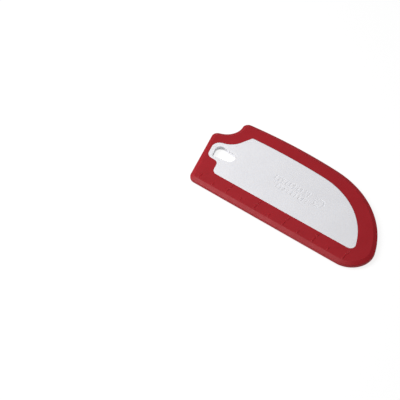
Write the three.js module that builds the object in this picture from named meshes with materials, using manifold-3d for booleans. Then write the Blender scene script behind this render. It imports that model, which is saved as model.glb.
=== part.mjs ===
// Bench scraper: a rigid white core plate with a soft silicone rim moulded round it.
//
// Millimetres, +Z up. The plan is drawn from the zero of the ruler: +X runs along the
// straight scraping edge towards the rounded nose, and +Y runs from that edge to the back.
// The group is then moved so that its origin lies under the middle of the outline.
import * as THREE from "three";
import { mergeVertices } from "three/addons/utils/BufferGeometryUtils.js";
import Module from "manifold-3d";

// Whole blade
const THICKNESS = 4.3;
const INCH = 25.4;
const CHORD_ERROR = 0.03;
const FIT_GAP = 0.3;

// The rim's edge is bevelled the same on both faces
const BEVEL_WIDTH = 3.1;
const BEVEL_DROP = 0.95;

// Core plate: its hidden tongue is gripped by the rim
const TONGUE_THICKNESS = 2;
const TONGUE_INSET = 4;
const HOLE_UPPER_CHAMFER = 0.6;
const HOLE_LOWER_CHAMFER = 0.25;

// Silicone fills these holes in the tongue, and so locks the rim to the plate
const INTERLOCK_DIAMETER = 3.2;
const INTERLOCK_INSET = 8.6;
const INTERLOCK_SIDES = 16;

// Ruler, in low ribs with sloping sides on the rim's upper face
const RIB_WIDTH = 1.8;
const RIB_HEIGHT = 0.22;
const RIB_SLOPE = 0.6;
const RIB_START = BEVEL_WIDTH + 0.6;
const INCH_RIB_LENGTH = 5.3;
const HALF_RIB_LENGTH = 3.7;
const RULER_INCHES = 5;

const straight = (length) => ({ length, radius: 0, turn: 0 });
const arc = (radius, turn) => ({ length: 0, radius, turn });
const FITTED = null;

// Outlines run anticlockwise. A straight marked FITTED gets the length that closes the outline.
const OUTER_EDGE = closeOutline(-1.3, 0, 0, [
  straight(FITTED), // scraping edge
  arc(17.9, 110), // toe
  arc(78.4, 64), // nose
  arc(420, 11), // back
  arc(4.6, 99), // back corner
  straight(0.6),
  arc(13.4, -82), // finger notch
  straight(2.4),
  arc(4.6, 86), // horn
  straight(FITTED), // heel side
  arc(6.4, 72), // heel corner
]);

const WINDOW_EDGE = closeOutline(8.6, 15, 0, [
  straight(FITTED), // along the ruler
  arc(4, 110.5), // toe
  arc(65.2, 64.5), // nose
  arc(500, 7.5), // back
  arc(1.8, 65), // back corner
  straight(9.2),
  arc(15.3, -54), // beside the finger notch
  arc(6.4, 94.5), // lobe round the hang hole
  straight(FITTED),
  arc(6.2, 72),
  straight(2.5),
  arc(5, -73), // waist between lobe and field
  straight(4.4),
  arc(5.5, 73), // heel corner
]);

const HANG_HOLE_EDGE = closeOutline(-4.9, 29.4, 8.5, [
  straight(FITTED),
  arc(5.8, 164.5), // round end
  straight(10.6),
  arc(4.6, 115),
  straight(FITTED), // flat end, parallel to the heel side
  arc(3, 80.5),
]);

// The interlock holes follow these runs of the outer edge, this many on each
const INTERLOCK_RUNS = [
  { run: 0, count: 7 },
  { run: 1, count: 2 },
  { run: 2, count: 6 },
  { run: 3, count: 5 },
];

const wasm = await Module();
wasm.setup();

const core = corePlate(0);
const plateWithClearance = corePlate(FIT_GAP);
const rim = siliconeRim(plateWithClearance);

const scraper = new THREE.Group();
scraper.add(
  namedMesh("core_plate", core, { color: 0xe9e9eb, roughness: 0.45, metalness: 0 }),
  namedMesh("silicone_rim", rim, { color: 0x9e222c, roughness: 0.55, metalness: 0 }),
);
const middle = new THREE.Box2().setFromPoints(trace(OUTER_EDGE)).getCenter(new THREE.Vector2());
scraper.position.set(-middle.x, -middle.y, 0);

// The white plate: a full-thickness field that fills the rim's window, and a thin tongue round
// it. A clearance grows it on every side, which gives the hollow that the rim keeps for it.
function corePlate(clearance) {
  const field = prism(trace(WINDOW_EDGE, FIT_GAP - clearance), -clearance, THICKNESS + clearance);
  const tongueBottom = (THICKNESS - TONGUE_THICKNESS) / 2;
  const tongue = prism(
    trace(OUTER_EDGE, TONGUE_INSET - clearance),
    tongueBottom - clearance,
    tongueBottom + TONGUE_THICKNESS + clearance,
  );
  let plate = field.add(tongue);
  for (const place of interlockPlaces()) {
    plate = plate.subtract(interlockCutter(place, INTERLOCK_DIAMETER / 2 - clearance));
  }
  return clearance > 0 ? plate : plate.subtract(hangHoleCutter());
}

// The red rim: a bevelled blade with the plate's hollow cut from it, and the ruler's ribs on top
function siliconeRim(hollow) {
  const blade = loft([
    { points: trace(OUTER_EDGE, BEVEL_WIDTH), z: 0 },
    { points: trace(OUTER_EDGE), z: BEVEL_DROP },
    { points: trace(OUTER_EDGE), z: THICKNESS - BEVEL_DROP },
    { points: trace(OUTER_EDGE, BEVEL_WIDTH), z: THICKNESS },
  ]);
  let body = blade.subtract(hollow);
  for (let mark = 0; mark <= 2 * RULER_INCHES; mark += 1) {
    body = body.add(rulerRib(mark));
  }
  return body;
}

// Marks come every half inch, and the whole inches are the long ones
function rulerRib(mark) {
  const length = mark % 2 === 0 ? INCH_RIB_LENGTH : HALF_RIB_LENGTH;
  const low = new THREE.Vector2((mark * INCH - RIB_WIDTH) / 2, RIB_START);
  const high = new THREE.Vector2((mark * INCH + RIB_WIDTH) / 2, RIB_START + length);
  return loft([
    { points: rectangle(low, high), z: THICKNESS - RIB_HEIGHT },
    { points: rectangle(low, high), z: THICKNESS },
    { points: rectangle(low, high, RIB_SLOPE), z: THICKNESS + RIB_HEIGHT },
  ]);
}

function rectangle(low, high, inset = 0) {
  return [
    new THREE.Vector2(low.x + inset, low.y + inset),
    new THREE.Vector2(high.x - inset, low.y + inset),
    new THREE.Vector2(high.x - inset, high.y - inset),
    new THREE.Vector2(low.x + inset, high.y - inset),
  ];
}

// A straight-walled hole that flares out at 45 degrees at both faces, and on past them
function hangHoleCutter() {
  const past = FIT_GAP;
  const wall = trace(HANG_HOLE_EDGE);
  return loft([
    { points: trace(HANG_HOLE_EDGE, -HOLE_LOWER_CHAMFER - past), z: -past },
    { points: wall, z: HOLE_LOWER_CHAMFER },
    { points: wall, z: THICKNESS - HOLE_UPPER_CHAMFER },
    { points: trace(HANG_HOLE_EDGE, -HOLE_UPPER_CHAMFER - past), z: THICKNESS + past },
  ]);
}

function interlockCutter(place, radius) {
  const pin = new THREE.CylinderGeometry(radius, radius, 2 * THICKNESS, INTERLOCK_SIDES);
  return solid(pin.rotateX(Math.PI / 2).translate(place.x, place.y, THICKNESS / 2));
}

// Evenly spaced points along the chosen runs, each moved in from the outer edge
function interlockPlaces() {
  const places = [];
  for (const { run, count } of INTERLOCK_RUNS) {
    for (let index = 0; index < count; index += 1) {
      const along = (index + 0.5) / count;
      places.push(pointOnRun(OUTER_EDGE, run, along, INTERLOCK_INSET));
    }
  }
  return places;
}

function leftOf(heading) {
  return new THREE.Vector2(-Math.sin(heading), Math.cos(heading));
}

function ahead(heading) {
  return new THREE.Vector2(Math.cos(heading), Math.sin(heading));
}

// The pen stands at a point and faces a heading, and each run moves it on
function advance(pen, run, share = 1) {
  if (run.turn === 0) {
    const at = pen.at.clone().addScaledVector(ahead(pen.heading), run.length * share);
    return { at, heading: pen.heading };
  }
  const side = Math.sign(run.turn);
  const heading = pen.heading + THREE.MathUtils.degToRad(run.turn) * share;
  const centre = pen.at.clone().addScaledVector(leftOf(pen.heading), side * run.radius);
  return { at: centre.addScaledVector(leftOf(heading), -side * run.radius), heading };
}

// Gives the two straights marked FITTED the lengths that bring the pen back to its start
function closeOutline(x, y, headingDegrees, runs) {
  const start = { at: new THREE.Vector2(x, y), heading: THREE.MathUtils.degToRad(headingDegrees) };
  const directions = [];
  let pen = start;
  for (const run of runs) {
    if (run.length === FITTED) {
      directions.push(ahead(pen.heading));
    } else {
      pen = advance(pen, run);
    }
  }
  const [first, second] = directions;
  const miss = start.at.clone().sub(pen.at);
  const lengths = [miss.cross(second) / first.cross(second), first.cross(miss) / first.cross(second)];
  const closed = runs.map((run) => (run.length === FITTED ? straight(lengths.shift()) : run));
  return { start, runs: closed };
}

// Points along an outline, moved in by an inset: left turns tighten and right turns open out
function trace(outline, inset = 0) {
  const { start } = outline;
  let pen = { at: start.at.clone().addScaledVector(leftOf(start.heading), inset), heading: start.heading };
  const points = [];
  for (const run of outline.runs) {
    const moved = { ...run, radius: run.radius - Math.sign(run.turn) * inset };
    const steps = run.turn === 0 ? 1 : arcSteps(run);
    for (let step = 0; step < steps; step += 1) {
      points.push(advance(pen, moved, step / steps).at);
    }
    pen = advance(pen, moved);
  }
  return points;
}

function arcSteps({ radius, turn }) {
  const stepAngle = 2 * Math.acos(1 - CHORD_ERROR / radius);
  return Math.ceil(Math.abs(THREE.MathUtils.degToRad(turn)) / stepAngle);
}

function pointOnRun(outline, index, share, inset) {
  let pen = outline.start;
  for (const run of outline.runs.slice(0, index)) {
    pen = advance(pen, run);
  }
  pen = advance(pen, outline.runs[index], share);
  return pen.at.addScaledVector(leftOf(pen.heading), inset);
}

function prism(points, bottom, top) {
  return loft([
    { points, z: bottom },
    { points, z: top },
  ]);
}

// A closed skin through rings with the same number of points, given from the bottom up
function loft(rings) {
  const count = rings[0].points.length;
  const positions = rings.flatMap(({ points, z }) => points.flatMap(({ x, y }) => [x, y, z]));
  const faces = THREE.ShapeUtils.triangulateShape(rings[0].points, []).map((face) => face.reverse());
  for (let ring = 0; ring < rings.length - 1; ring += 1) {
    for (let index = 0; index < count; index += 1) {
      const here = ring * count + index;
      const next = ring * count + ((index + 1) % count);
      faces.push([here, next, next + count], [here, next + count, here + count]);
    }
  }
  const topStart = (rings.length - 1) * count;
  for (const face of THREE.ShapeUtils.triangulateShape(rings.at(-1).points, [])) {
    faces.push(face.map((vertex) => vertex + topStart));
  }
  const skin = new THREE.BufferGeometry();
  skin.setAttribute("position", new THREE.Float32BufferAttribute(positions, 3));
  skin.setIndex(faces.flat());
  return solid(skin);
}

// A closed geometry as a solid that can be joined and cut
function solid(geometry) {
  const bare = geometry.clone();
  bare.deleteAttribute("normal");
  bare.deleteAttribute("uv");
  const merged = mergeVertices(bare);
  return new wasm.Manifold(
    new wasm.Mesh({
      numProp: 3,
      vertProperties: new Float32Array(merged.attributes.position.array),
      triVerts: new Uint32Array(merged.index.array),
    }),
  );
}

function namedMesh(name, body, finish) {
  const { vertProperties, triVerts } = body.getMesh();
  const geometry = new THREE.BufferGeometry();
  geometry.setAttribute("position", new THREE.BufferAttribute(vertProperties, 3));
  geometry.setIndex(new THREE.BufferAttribute(triVerts, 1));
  geometry.computeVertexNormals();
  const mesh = new THREE.Mesh(geometry, new THREE.MeshStandardMaterial(finish));
  mesh.name = name;
  return mesh;
}

export default scraper;
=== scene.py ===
"""Looks of the bench scraper: a white moulded plate in a red silicone rim, on a pale floor.

Plan sizes are in millimetres from the zero of the ruler, with +X along the straight
scraping edge and +Y from that edge to the back. They are moved onto the CAD frame, in
metres, when a vertex is made.
"""

import math

import bmesh
import bpy
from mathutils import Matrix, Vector
from mathutils.geometry import delaunay_2d_cdt


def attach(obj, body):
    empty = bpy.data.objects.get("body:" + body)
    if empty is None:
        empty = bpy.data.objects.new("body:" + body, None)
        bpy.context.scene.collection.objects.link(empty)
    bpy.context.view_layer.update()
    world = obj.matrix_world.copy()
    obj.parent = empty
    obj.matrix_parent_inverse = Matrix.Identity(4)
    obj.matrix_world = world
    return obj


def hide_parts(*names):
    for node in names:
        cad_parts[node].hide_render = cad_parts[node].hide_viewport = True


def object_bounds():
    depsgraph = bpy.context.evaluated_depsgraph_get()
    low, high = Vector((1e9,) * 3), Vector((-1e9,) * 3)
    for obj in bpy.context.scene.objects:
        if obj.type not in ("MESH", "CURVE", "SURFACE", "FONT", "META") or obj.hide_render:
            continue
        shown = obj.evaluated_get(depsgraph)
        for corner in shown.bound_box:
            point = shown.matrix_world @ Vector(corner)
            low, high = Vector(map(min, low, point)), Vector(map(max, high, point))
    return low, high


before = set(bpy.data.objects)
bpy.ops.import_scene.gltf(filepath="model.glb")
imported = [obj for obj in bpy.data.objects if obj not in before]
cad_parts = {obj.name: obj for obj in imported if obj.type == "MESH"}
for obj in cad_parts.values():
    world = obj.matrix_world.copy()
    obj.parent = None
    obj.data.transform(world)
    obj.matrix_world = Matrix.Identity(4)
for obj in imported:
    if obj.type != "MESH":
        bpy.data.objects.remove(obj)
CAD_LOW, CAD_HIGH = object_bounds()

MM = 0.001
THICKNESS = 4.3
INCH = 25.4
CHORD_ERROR = 0.004  # the most that an arc's chords may stray from it

# Rim edge, the same on both faces
BEVEL_WIDTH = 3.1
BEVEL_DROP = 0.95
BEVEL_TOP_RADIUS = 1.2
BEVEL_EDGE_RADIUS = 0.55
LAND_INSET = 0.04
PARTING_RIDGE_HALF_WIDTH = 0.09

# Where plate and rim meet
TONGUE_THICKNESS = 2.0
TONGUE_INSET = 4.0
HIDDEN_CLEARANCE = 0.05
SEAM_CLEARANCE = 0.03
PLATE_EDGE_RADIUS = 0.22
RIM_INNER_RADIUS = 0.14
HOLE_UPPER_RADIUS = 0.8
HOLE_LOWER_RADIUS = 0.3
INTERLOCK_DIAMETER = 3.2
INTERLOCK_INSET = 8.6
INTERLOCK_STEPS = 28

# Ribs and dents rise or fall in this many steps. Shares are of their width.
RELIEF_STEPS = 6
RELIEF_CORNER_SHARE = 0.48
RELIEF_SLOPE_SHARE = 0.42

# Ruler, in low ribs and numbers raised on the rim's upper face
RIB_WIDTH = 1.8
RIB_HEIGHT = 0.22
RIB_START = BEVEL_WIDTH + 0.6
INCH_RIB_LENGTH = 5.3
HALF_RIB_LENGTH = 3.7
RULER_INCHES = 5
DIGIT_HEIGHT = 3.8
DIGIT_START = RIB_START + INCH_RIB_LENGTH + 0.5

# Strokes of a number are wider at the foot and narrower at the top than the font's
DIGIT_SPREAD = 0.13
DIGIT_NARROWING = 0.1
LEAST_CORNER_COSINE = 0.5  # of half a corner's turn, past which the corner moves no further

# In the font's own units, in which a number is about 0.7 high
FONT_CURVE_STEPS = 5
FONT_WELD_DISTANCE = 0.04

# Grip dents and a plain ring, sunk in the plate
GRIP_ROWS = [(44.8, 40.8, 10), (50.6, 33.8, 9)]  # middle of the first dent, and number of dents
GRIP_PITCH = 3.3
GRIP_LENGTH = 4.8
GRIP_WIDTH = 1.5
GRIP_DEPTH = 0.16
GRIP_RING_MIDDLE = (85.1, 38)
GRIP_RING_DIAMETER = 8.8
GRIP_RING_STEPS = 10

# Marks that the ejector pins leave in the lower face
EJECTOR_DIAMETER = 5.0
EJECTOR_DEPTH = 0.1
EJECTOR_WALL = [(0.0, 0.0), (0.3, 0.3), (0.5, 1.0)]  # (inset, rise) as shares of the depth
EJECTOR_PLACES = [(20, 27), (22, 52), (62, 24), (66, 54), (104, 26)]

FITTED = None  # the length of a straight that close_outline works out
SHARP_DEGREES = 38  # edges that turn further than this stay sharp


# ---------------------------------------------------------------- outlines

def straight(length):
    return {"length": length, "radius": 0, "turn": 0}


def arc(radius, turn):
    return {"length": 0, "radius": radius, "turn": turn}


def left_of(heading):
    return Vector((-math.sin(heading), math.cos(heading)))


def ahead(heading):
    return Vector((math.cos(heading), math.sin(heading)))


def advance(at, heading, run, share=1.0):
    """Where a pen at a point and heading stands after a share of a run."""
    if run["turn"] == 0:
        return at + ahead(heading) * run["length"] * share, heading
    side = math.copysign(1, run["turn"])
    centre = at + left_of(heading) * side * run["radius"]
    heading += math.radians(run["turn"]) * share
    return centre - left_of(heading) * side * run["radius"], heading


def close_outline(x, y, heading_degrees, runs):
    """An anticlockwise outline, whose two FITTED straights get the lengths that close it."""
    start = Vector((x, y))
    at, heading = start.copy(), math.radians(heading_degrees)
    first, second = None, None
    for run in runs:
        if run["length"] is FITTED:
            first, second = (ahead(heading), None) if first is None else (first, ahead(heading))
        else:
            at, heading = advance(at, heading, run)
    miss = start - at
    across = first.cross(second)
    lengths = [miss.cross(second) / across, first.cross(miss) / across]
    closed = [straight(lengths.pop(0)) if run["length"] is FITTED else run for run in runs]
    return {"start": start, "heading": math.radians(heading_degrees), "runs": closed}


def trace(outline, inset=0.0):
    """Points along an outline moved in by an inset: left turns tighten, right turns open out."""
    heading = outline["heading"]
    at = outline["start"] + left_of(heading) * inset
    points = []
    for run in outline["runs"]:
        steps = 1
        if run["turn"]:
            step_angle = 2 * math.acos(1 - CHORD_ERROR / run["radius"])
            steps = math.ceil(abs(math.radians(run["turn"])) / step_angle)
        moved = dict(run, radius=run["radius"] - math.copysign(inset, run["turn"]))
        for step in range(steps):
            points.append(advance(at, heading, moved, step / steps)[0])
        at, heading = advance(at, heading, moved)
    return points


def rounded_box(x, y, length, width, radius, heading=0):
    """A rounded rectangle about a centre, with its length along the heading."""
    angle = math.radians(heading)
    corner = Vector((x, y)) - ahead(angle) * (length / 2 - radius) - left_of(angle) * width / 2
    sides = [straight(length - 2 * radius), arc(radius, 90), straight(width - 2 * radius), arc(radius, 90)]
    return {"start": corner, "heading": angle, "runs": sides + sides}


def circle(x, y, radius):
    return {"start": Vector((x, y - radius)), "heading": 0.0, "runs": [arc(radius, 360)]}


def on_run(outline, index, share, inset):
    """The point a share of the way along one run of an outline, moved in by an inset."""
    at, heading = outline["start"], outline["heading"]
    for run in outline["runs"][:index]:
        at, heading = advance(at, heading, run)
    at, heading = advance(at, heading, outline["runs"][index], share)
    return at + left_of(heading) * inset


OUTER_EDGE = close_outline(-1.3, 0, 0, [
    straight(FITTED),  # scraping edge
    arc(17.9, 110),  # toe
    arc(78.4, 64),  # nose
    arc(420, 11),  # back
    arc(4.6, 99),  # back corner
    straight(0.6),
    arc(13.4, -82),  # finger notch
    straight(2.4),
    arc(4.6, 86),  # horn
    straight(FITTED),  # heel side
    arc(6.4, 72),  # heel corner
])

WINDOW_EDGE = close_outline(8.6, 15, 0, [
    straight(FITTED),  # along the ruler
    arc(4, 110.5),  # toe
    arc(65.2, 64.5),  # nose
    arc(500, 7.5),  # back
    arc(1.8, 65),  # back corner
    straight(9.2),
    arc(15.3, -54),  # beside the finger notch
    arc(6.4, 94.5),  # lobe round the hang hole
    straight(FITTED),
    arc(6.2, 72),
    straight(2.5),
    arc(5, -73),  # waist between lobe and field
    straight(4.4),
    arc(5.5, 73),  # heel corner
])

HANG_HOLE_EDGE = close_outline(-4.9, 29.4, 8.5, [
    straight(FITTED),
    arc(5.8, 164.5),  # round end
    straight(10.6),
    arc(4.6, 115),
    straight(FITTED),  # flat end, parallel to the heel side
    arc(3, 80.5),
])

INTERLOCK_RUNS = {0: 7, 1: 2, 2: 6, 3: 5}  # run of the outer edge: how many holes follow it


def plan_middle():
    points = trace(OUTER_EDGE)
    xs, ys = [p.x for p in points], [p.y for p in points]
    return Vector(((min(xs) + max(xs)) / 2, (min(ys) + max(ys)) / 2))


CAD_MIDDLE = (CAD_LOW + CAD_HIGH) / 2
PLAN_MIDDLE = plan_middle()


# ---------------------------------------------------------------- mesh skins

class Skin:
    """A closed mesh made of rings of vertices, strips between them and flat caps."""

    def __init__(self):
        self.mesh = bmesh.new()

    def ring(self, points, z):
        row = [(p - PLAN_MIDDLE) * MM for p in points]
        height = CAD_LOW.z + z * MM
        return [self.mesh.verts.new((CAD_MIDDLE.x + p.x, CAD_MIDDLE.y + p.y, height)) for p in row]

    def strip(self, lower, upper):
        for i, vertex in enumerate(lower):
            j = (i + 1) % len(lower)
            self.mesh.faces.new((vertex, lower[j], upper[j], upper[i]))

    def rings(self, outline, profile):
        """Rings of one outline at (inset, z) steps, joined by strips. Returns the first and last."""
        made = [self.ring(trace(outline, inset), z) for inset, z in profile]
        for lower, upper in zip(made, made[1:]):
            self.strip(lower, upper)
        return made[0], made[-1]

    def cap(self, loops):
        """Triangles over the flat area that lies inside an odd number of the loops."""
        vertices = [v for loop in loops for v in loop]
        flat = [Vector((v.co.x, v.co.y)) / MM for v in vertices]
        edges, first = [], 0
        for loop in loops:
            edges += [(first + i, first + (i + 1) % len(loop)) for i in range(len(loop))]
            first += len(loop)
        points, _, faces, sources, _, _ = delaunay_2d_cdt(flat, edges, [], 0, 1e-6)
        for face in faces:
            middle = sum((points[i] for i in face), Vector((0, 0))) / len(face)
            if inside_odd(middle, flat, edges):
                self.mesh.faces.new([vertices[sources[i][0]] for i in face])

    def finish(self, name, material):
        bmesh.ops.recalc_face_normals(self.mesh, faces=self.mesh.faces)
        data = bpy.data.meshes.new(name)
        self.mesh.to_mesh(data)
        self.mesh.free()
        data.shade_smooth()
        data.set_sharp_from_angle(angle=math.radians(SHARP_DEGREES))
        data.materials.append(material)
        piece = bpy.data.objects.new(name, data)
        bpy.context.scene.collection.objects.link(piece)
        normals = piece.modifiers.new("even_normals", "WEIGHTED_NORMAL")
        normals.keep_sharp = True
        return piece


def inside_odd(point, flat, edges):
    inside = False
    for a, b in edges:
        a, b = flat[a], flat[b]
        if (a.y > point.y) != (b.y > point.y):
            if point.x < a.x + (b.x - a.x) * (point.y - a.y) / (b.y - a.y):
                inside = not inside
    return inside


def fillet(inset, z, radius, turn_from, turn_to, steps):
    """Profile points round a centre, as (inset, z). Angle 0 points outward, 90 points up."""
    points = []
    for step in range(steps + 1):
        angle = math.radians(turn_from + (turn_to - turn_from) * step / steps)
        points.append((inset - radius * math.cos(angle), z + radius * math.sin(angle)))
    return points


# ---------------------------------------------------------------- silicone rim

def rim_profile():
    """The rim's outside from its lower flat face, round the bevels and the land, to its upper one."""
    slope = math.atan2(BEVEL_DROP, BEVEL_WIDTH)
    bevel_normal = 90 - math.degrees(slope)
    reach = BEVEL_EDGE_RADIUS * math.tan((math.pi / 2 - slope) / 2)
    edge_inset = LAND_INSET + BEVEL_EDGE_RADIUS
    edge_z = THICKNESS - BEVEL_DROP - reach
    top_inset = LAND_INSET + BEVEL_WIDTH + BEVEL_TOP_RADIUS * math.tan(slope / 2)
    top_z = THICKNESS - BEVEL_TOP_RADIUS
    upper = fillet(edge_inset, edge_z, BEVEL_EDGE_RADIUS, 0, bevel_normal, steps=8)
    upper += fillet(top_inset, top_z, BEVEL_TOP_RADIUS, bevel_normal, 90, steps=6)
    lower = [(inset, THICKNESS - z) for inset, z in reversed(upper)]
    middle = THICKNESS / 2
    ridge = [
        (LAND_INSET, middle - PARTING_RIDGE_HALF_WIDTH),
        (0.0, middle - PARTING_RIDGE_HALF_WIDTH / 3),
        (0.0, middle + PARTING_RIDGE_HALF_WIDTH / 3),
        (LAND_INSET, middle + PARTING_RIDGE_HALF_WIDTH),
    ]
    return lower + ridge + upper


def eased(share):
    """Goes gently from 0 to 1 over a share of 1, and back to 0 over the next."""
    return (1 - math.cos(math.pi * share)) / 2


def relief(skin, x, y, width, length, rise):
    """A soft-sided rib, or a dent if it falls. Returns the loop it cuts in the upper face."""
    outline = rounded_box(x, y, width, length, width * RELIEF_CORNER_SHARE)
    profile = []
    for step in range(RELIEF_STEPS + 1):
        share = step / RELIEF_STEPS
        profile.append((share * width * RELIEF_SLOPE_SHARE, THICKNESS + rise * eased(share)))
    foot, top = skin.rings(outline, profile)
    skin.cap([top])
    return foot


def signed_area(points):
    return sum(a.cross(b) for a, b in zip(points, points[1:] + points[:1])) / 2


def moved_in(points, inset):
    """A loop moved to its left by an inset. Its sharpest corners move less than they would."""
    moved = []
    for before, at, after in zip(points[-1:] + points[:-1], points, points[1:] + points[:1]):
        arriving = (at - before).orthogonal().normalized()
        leaving = (after - at).orthogonal().normalized()
        middle = (arriving + leaving).normalized()
        moved.append(at + middle * inset / max(middle.dot(leaving), LEAST_CORNER_COSINE))
    return moved


def border_loops(shape):
    """The rows of vertices that go round a flat mesh and round its holes."""
    border = [edge for edge in shape.edges if edge.is_boundary]
    loops = []
    while border:
        edge = border.pop()
        loop = [edge.verts[0], edge.verts[1]]
        while loop[-1] is not loop[0]:
            edge = next(e for e in border if loop[-1] in e.verts)
            border.remove(edge)
            loop.append(edge.other_vert(loop[-1]))
        loops.append(loop[:-1])
    return loops


def font_outlines(text):
    """Outlines of a digit in the font's units: the outer one runs anticlockwise, a hole clockwise."""
    curve = bpy.data.curves.new("digit", "FONT")
    curve.body = text
    curve.resolution_u = FONT_CURVE_STEPS
    probe = bpy.data.objects.new("digit", curve)
    data = bpy.data.meshes.new_from_object(probe)
    shape = bmesh.new()
    shape.from_mesh(data)
    bmesh.ops.remove_doubles(shape, verts=shape.verts, dist=FONT_WELD_DISTANCE)
    outlines = [[v.co.to_2d() for v in loop] for loop in border_loops(shape)]
    shape.free()
    bpy.data.objects.remove(probe)
    bpy.data.meshes.remove(data)
    bpy.data.curves.remove(curve)

    outlines.sort(key=lambda points: -abs(signed_area(points)))
    for index, points in enumerate(outlines):
        is_hole = index > 0
        if (signed_area(points) > 0) == is_hole:
            points.reverse()
    return outlines


def digit_outlines(text, x, bottom):
    """Outlines of a digit in the plan, standing on a line and centred on x."""
    outlines = font_outlines(text)
    xs = [p.x for points in outlines for p in points]
    ys = [p.y for points in outlines for p in points]
    foot = Vector(((min(xs) + max(xs)) / 2, min(ys)))
    scale = DIGIT_HEIGHT / (max(ys) - min(ys))
    return [[Vector((x, bottom)) + (p - foot) * scale for p in points] for points in outlines]


def raised_digit(skin, text, x, bottom):
    """A number that stands as high as the ribs. Returns the loops it cuts in the upper face."""
    feet, tops = [], []
    for points in digit_outlines(text, x, bottom):
        feet.append(skin.ring(moved_in(points, -DIGIT_SPREAD), THICKNESS))
        tops.append(skin.ring(moved_in(points, DIGIT_NARROWING), THICKNESS + RIB_HEIGHT))
        skin.strip(feet[-1], tops[-1])
    skin.cap(tops)
    return feet


def ruler(skin):
    """A rib every half inch and a number every inch. Returns the loops they cut in the face."""
    loops = []
    for mark in range(2 * RULER_INCHES + 1):
        x = mark * INCH / 2
        length = INCH_RIB_LENGTH if mark % 2 == 0 else HALF_RIB_LENGTH
        loops.append(relief(skin, x, RIB_START + length / 2, RIB_WIDTH, length, RIB_HEIGHT))
        if mark % 2 == 0 and mark > 0:
            loops += raised_digit(skin, str(mark // 2), x, DIGIT_START)
    return loops


def interlock_circles(radius):
    """Circles round the holes in the tongue, or round the studs that fill them."""
    for run, count in INTERLOCK_RUNS.items():
        for index in range(count):
            place = on_run(OUTER_EDGE, run, (index + 0.5) / count, INTERLOCK_INSET)
            yield [
                place + ahead(2 * math.pi * step / INTERLOCK_STEPS) * radius
                for step in range(INTERLOCK_STEPS)
            ]


def silicone_rim(material):
    skin = Skin()
    lower_outside, upper_outside = skin.rings(OUTER_EDGE, rim_profile())

    # the inner wall, above and below the tongue's groove
    tongue_low = (THICKNESS - TONGUE_THICKNESS) / 2 - HIDDEN_CLEARANCE
    tongue_high = THICKNESS - tongue_low
    r = RIM_INNER_RADIUS
    upper_wall = [(0.0, tongue_high)] + fillet(-r, THICKNESS - r, r, 180, 90, steps=5)
    lower_wall = [(inset, THICKNESS - z) for inset, z in upper_wall]
    upper_groove, upper_inside = skin.rings(WINDOW_EDGE, upper_wall)
    lower_groove, lower_inside = skin.rings(WINDOW_EDGE, lower_wall)

    # the groove, and the studs of silicone that pass through the tongue
    groove_inset = TONGUE_INSET - HIDDEN_CLEARANCE
    groove = [(groove_inset, tongue_low), (groove_inset, tongue_high)]
    groove_low, groove_high = skin.rings(OUTER_EDGE, groove)
    low_circles, high_circles = [], []
    for points in interlock_circles(INTERLOCK_DIAMETER / 2 - HIDDEN_CLEARANCE):
        low_circles.append(skin.ring(points, tongue_low))
        high_circles.append(skin.ring(points, tongue_high))
        skin.strip(low_circles[-1], high_circles[-1])
    skin.cap([groove_low, lower_groove, *low_circles])
    skin.cap([groove_high, upper_groove, *high_circles])

    skin.cap([lower_outside, lower_inside])
    skin.cap([upper_outside, upper_inside, *ruler(skin)])
    return skin.finish("silicone_rim_moulding", material)


# ---------------------------------------------------------------- core plate

def core_plate(material):
    skin = Skin()
    r = PLATE_EDGE_RADIUS
    tongue_low = (THICKNESS - TONGUE_THICKNESS) / 2
    tongue_high = THICKNESS - tongue_low

    upper_wall = [(SEAM_CLEARANCE, tongue_high)]
    upper_wall += fillet(SEAM_CLEARANCE + r, THICKNESS - r, r, 0, 90, steps=5)
    lower_wall = [(inset, THICKNESS - z) for inset, z in upper_wall]
    upper_root, upper_field = skin.rings(WINDOW_EDGE, upper_wall)
    lower_root, lower_field = skin.rings(WINDOW_EDGE, lower_wall)

    tip = [(TONGUE_INSET, tongue_low), (TONGUE_INSET, tongue_high)]
    tip_low, tip_high = skin.rings(OUTER_EDGE, tip)
    low_circles, high_circles = [], []
    for points in interlock_circles(INTERLOCK_DIAMETER / 2):
        low_circles.append(skin.ring(points, tongue_low))
        high_circles.append(skin.ring(points, tongue_high))
        skin.strip(low_circles[-1], high_circles[-1])
    skin.cap([tip_low, lower_root, *low_circles])
    skin.cap([tip_high, upper_root, *high_circles])

    below, above = HOLE_LOWER_RADIUS, HOLE_UPPER_RADIUS
    hole_wall = fillet(-below, below, below, 270, 180, steps=6)
    hole_wall += fillet(-above, THICKNESS - above, above, 180, 90, steps=14)
    lower_mouth, upper_mouth = skin.rings(HANG_HOLE_EDGE, hole_wall)

    skin.cap([lower_field, lower_mouth, *ejector_marks(skin)])
    skin.cap([upper_field, upper_mouth, *grip_marks(skin)])
    return skin.finish("core_plate_moulding", material)


def grip_marks(skin):
    """Two plain rows of short upright dents and a plain round groove."""
    loops = []
    for first_x, y, count in GRIP_ROWS:
        for column in range(count):
            x = first_x + column * GRIP_PITCH
            loops.append(relief(skin, x, y, GRIP_WIDTH, GRIP_LENGTH, -GRIP_DEPTH))
    groove = []
    for step in range(GRIP_RING_STEPS + 1):
        share = step / GRIP_RING_STEPS
        groove.append((share * GRIP_WIDTH, THICKNESS - GRIP_DEPTH * eased(2 * share)))
    outside, inside = skin.rings(circle(*GRIP_RING_MIDDLE, GRIP_RING_DIAMETER / 2), groove)
    skin.cap([inside])
    return loops + [outside]


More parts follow.
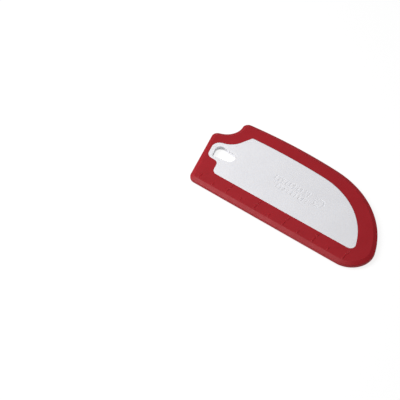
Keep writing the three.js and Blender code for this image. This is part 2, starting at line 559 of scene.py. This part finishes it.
def ejector_marks(skin):
    """Round steps that the mould's ejector pins leave in the lower face."""
    wall = [(inset * EJECTOR_DEPTH, rise * EJECTOR_DEPTH) for inset, rise in EJECTOR_WALL]
    loops = []
    for x, y in EJECTOR_PLACES:
        mouth, step_ring = skin.rings(circle(x, y, EJECTOR_DIAMETER / 2), wall)
        skin.cap([step_ring])
        loops.append(mouth)
    return loops


# ---------------------------------------------------------------- materials

# Each colour is a mix of two near ones, so that a face isn't one flat tone
RED_DEEPER = (0.285, 0.003, 0.0085)
RED_BRIGHTER = (0.312, 0.004, 0.0105)
WHITE_DEEPER = (0.697, 0.695, 0.722)
WHITE_BRIGHTER = (0.722, 0.72, 0.747)

# Nearly all of a noise lies between these
NOISE_LOW = 0.3
NOISE_HIGH = 0.7


def new_material(name):
    material = bpy.data.materials.new(name)
    material.use_nodes = True
    nodes = material.node_tree.nodes
    return material, nodes, material.node_tree.links, nodes["Principled BSDF"]


def add_noise(nodes, links, size_mm, detail=3.0, roughness=0.5):
    """Noise whose grains are about a size across, fixed to the object."""
    place = nodes.new("ShaderNodeTexCoord")
    noise = nodes.new("ShaderNodeTexNoise")
    noise.inputs["Scale"].default_value = 1 / (size_mm * MM)
    noise.inputs["Detail"].default_value = detail
    noise.inputs["Roughness"].default_value = roughness
    links.new(place.outputs["Object"], noise.inputs["Vector"])
    return noise.outputs["Fac"]


def add_range(nodes, links, source, low, high):
    """A noise stretched to run from a low value to a high one."""
    remap = nodes.new("ShaderNodeMapRange")
    remap.inputs["From Min"].default_value = NOISE_LOW
    remap.inputs["From Max"].default_value = NOISE_HIGH
    remap.inputs["To Min"].default_value = low
    remap.inputs["To Max"].default_value = high
    links.new(source, remap.inputs["Value"])
    return remap.outputs["Result"]


def add_mix(nodes, links, factor, low, high):
    mix = nodes.new("ShaderNodeMix")
    mix.data_type = "RGBA"
    links.new(factor, mix.inputs["Factor"])
    mix.inputs["A"].default_value = (*low, 1)
    mix.inputs["B"].default_value = (*high, 1)
    return mix.outputs["Result"]


def add_bump(nodes, links, shader, layers):
    """Bumps of several (height source, depth in mm), each on top of the last."""
    normal = None
    for height, depth in layers:
        bump = nodes.new("ShaderNodeBump")
        bump.inputs["Distance"].default_value = depth * MM
        links.new(height, bump.inputs["Height"])
        if normal:
            links.new(normal, bump.inputs["Normal"])
        normal = bump.outputs["Normal"]
    links.new(normal, shader.inputs["Normal"])


def red_silicone():
    material, nodes, links, shader = new_material("red_silicone")
    cloud = add_range(nodes, links, add_noise(nodes, links, size_mm=18, detail=2), 0, 1)
    colour = add_mix(nodes, links, cloud, RED_DEEPER, RED_BRIGHTER)
    links.new(colour, shader.inputs["Base Color"])
    patch = add_noise(nodes, links, size_mm=3)
    links.new(add_range(nodes, links, patch, 0.46, 0.56), shader.inputs["Roughness"])
    shader.inputs["Specular IOR Level"].default_value = 0.31
    shader.inputs["Subsurface Weight"].default_value = 0.08
    shader.inputs["Subsurface Radius"].default_value = (1.0, 0.15, 0.12)
    shader.inputs["Subsurface Scale"].default_value = 0.6 * MM
    grain = add_noise(nodes, links, size_mm=0.22, detail=4, roughness=0.6)
    swell = add_noise(nodes, links, size_mm=7, detail=1)
    add_bump(nodes, links, shader, [(swell, 0.05), (grain, 0.012)])
    return material


def white_plastic():
    material, nodes, links, shader = new_material("white_plastic")
    cloud = add_range(nodes, links, add_noise(nodes, links, size_mm=25, detail=2), 0, 1)
    colour = add_mix(nodes, links, cloud, WHITE_DEEPER, WHITE_BRIGHTER)
    links.new(colour, shader.inputs["Base Color"])
    patch = add_noise(nodes, links, size_mm=4)
    links.new(add_range(nodes, links, patch, 0.40, 0.48), shader.inputs["Roughness"])
    shader.inputs["Specular IOR Level"].default_value = 0.5
    shader.inputs["Subsurface Weight"].default_value = 0.3
    shader.inputs["Subsurface Radius"].default_value = (1.0, 0.95, 0.9)
    shader.inputs["Subsurface Scale"].default_value = 1.2 * MM
    grain = add_noise(nodes, links, size_mm=0.18, detail=4, roughness=0.65)
    swell = add_noise(nodes, links, size_mm=12, detail=1)
    add_bump(nodes, links, shader, [(swell, 0.04), (grain, 0.012)])
    return material


# ---------------------------------------------------------------- studio

FLOOR_HALF_WIDTH = 2.5  # metres
FLOOR_GAP = 0.02  # keeps the floor from coinciding with the lower face

# Azimuths are degrees from the front, towards +X
VIEW_AZIMUTH = 38.86
VIEW_ELEVATION = 45.76
VIEW_DISTANCE = 0.7469  # metres
VIEW_AIM = Vector((-44.6, -52.2, THICKNESS)) * MM  # from the middle of the plan
LENS = 92.7
SENSOR_WIDTH = 36
NEAREST_VISIBLE = 0.01  # metres


def floor_material():
    material, nodes, links, shader = new_material("pale_floor")
    shader.inputs["Base Color"].default_value = (0.15, 0.15, 0.15, 1)
    shader.inputs["Roughness"].default_value = 0.9
    shader.inputs["Specular IOR Level"].default_value = 0.1
    shader.inputs["Emission Color"].default_value = (1, 1, 1, 1)
    shader.inputs["Emission Strength"].default_value = 0.86
    return material


def floor():
    plane = bmesh.new()
    bmesh.ops.create_grid(plane, x_segments=1, y_segments=1, size=FLOOR_HALF_WIDTH)
    data = bpy.data.meshes.new("floor")
    plane.to_mesh(data)
    plane.free()
    data.materials.append(floor_material())
    piece = bpy.data.objects.new("floor", data)
    piece.location.z = CAD_LOW.z - FLOOR_GAP * MM
    bpy.context.scene.collection.objects.link(piece)


def toward(azimuth, elevation):
    a, e = math.radians(azimuth), math.radians(elevation)
    return Vector((math.sin(a) * math.cos(e), -math.cos(a) * math.cos(e), math.sin(e)))


def camera():
    data = bpy.data.cameras.new("camera")
    data.lens = LENS
    data.sensor_width = SENSOR_WIDTH
    data.clip_start = NEAREST_VISIBLE
    eye = bpy.data.objects.new("camera", data)
    back = toward(VIEW_AZIMUTH, VIEW_ELEVATION)
    eye.location = CAD_MIDDLE.xy.to_3d() + VIEW_AIM + back * VIEW_DISTANCE
    eye.rotation_euler = back.to_track_quat("Z", "Y").to_euler()
    bpy.context.scene.collection.objects.link(eye)
    bpy.context.scene.camera = eye


def softbox(name, azimuth, elevation, distance, size, power):
    """A round white lamp that faces the object, at a distance in metres."""
    data = bpy.data.lights.new(name, "AREA")
    data.shape = "DISK"
    data.size = size
    data.energy = power
    lamp = bpy.data.objects.new(name, data)
    back = toward(azimuth, elevation)
    lamp.location = back * distance
    lamp.rotation_euler = back.to_track_quat("Z", "Y").to_euler()
    bpy.context.scene.collection.objects.link(lamp)


def studio():
    world = bpy.data.worlds.new("studio")
    world.use_nodes = True
    sky = world.node_tree.nodes["Background"]
    sky.inputs["Color"].default_value = (1, 1, 1, 1)
    sky.inputs["Strength"].default_value = 0.22
    bpy.context.scene.world = world
    bpy.context.scene.view_settings.view_transform = "Standard"
    softbox("key", azimuth=-50, elevation=45, distance=0.7, size=0.45, power=4.6)
    softbox("overhead", azimuth=-97, elevation=66, distance=0.9, size=0.4, power=2.2)


camera()
studio()
floor()

rim = silicone_rim(red_silicone())
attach(rim, "root")
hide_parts("silicone_rim")

plate = core_plate(white_plastic())
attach(plate, "root")
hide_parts("core_plate")
